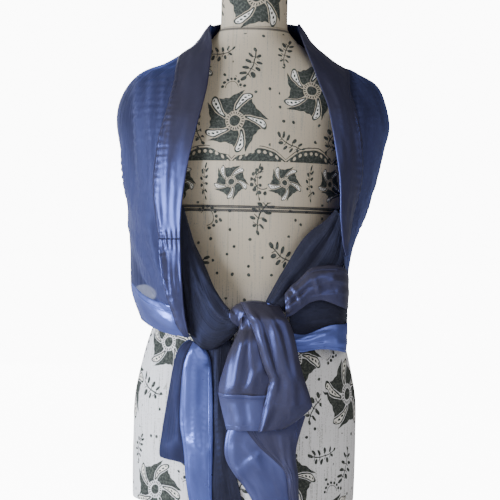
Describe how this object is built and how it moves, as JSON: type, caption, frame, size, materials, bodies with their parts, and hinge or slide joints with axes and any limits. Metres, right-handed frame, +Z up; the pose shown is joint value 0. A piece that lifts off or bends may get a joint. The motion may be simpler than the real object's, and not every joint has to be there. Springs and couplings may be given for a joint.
{
  "type": "evening stole on dress form",
  "caption": "Long sheer stole with satin borders, worn round a limbless dress form as a shawl-collared cape, knotted at the front with a hanging loop and tails.",
  "frame": {"origin": "centre of the dress form's flat underside", "axes": "+Z up along the form, the form faces -Y, +X to the right of a person who looks at it"},
  "size_m": [0.4419, 0.2961, 0.835],
  "materials": {
    "satin": "soft satin sheen",
    "chiffon": "sheer matt crinkle",
    "form_cover": "matt lace over pale cloth",
    "form_cord": "matt cord"
  },
  "bodies": {
    "root": {"form_torso": "form_cover", "form_neck": "form_cover", "form_trim": "form_cord", "cape_chiffon": "chiffon", "cape_border": "satin", "collar_band": "satin", "band_left_low": "satin", "drape_left": "chiffon", "drape_right": "chiffon", "gather_band": "satin", "gather_chiffon": "chiffon", "gather_border": "satin", "knot": "satin", "loop_chiffon": "chiffon", "loop_border": "satin", "loop_fold": "satin", "tail_left_flap": "chiffon", "tail_left_band": "satin", "tail_left_chiffon": "chiffon", "tail_right": "chiffon", "tail_right_band": "satin"}
  },
  "joints": []
}
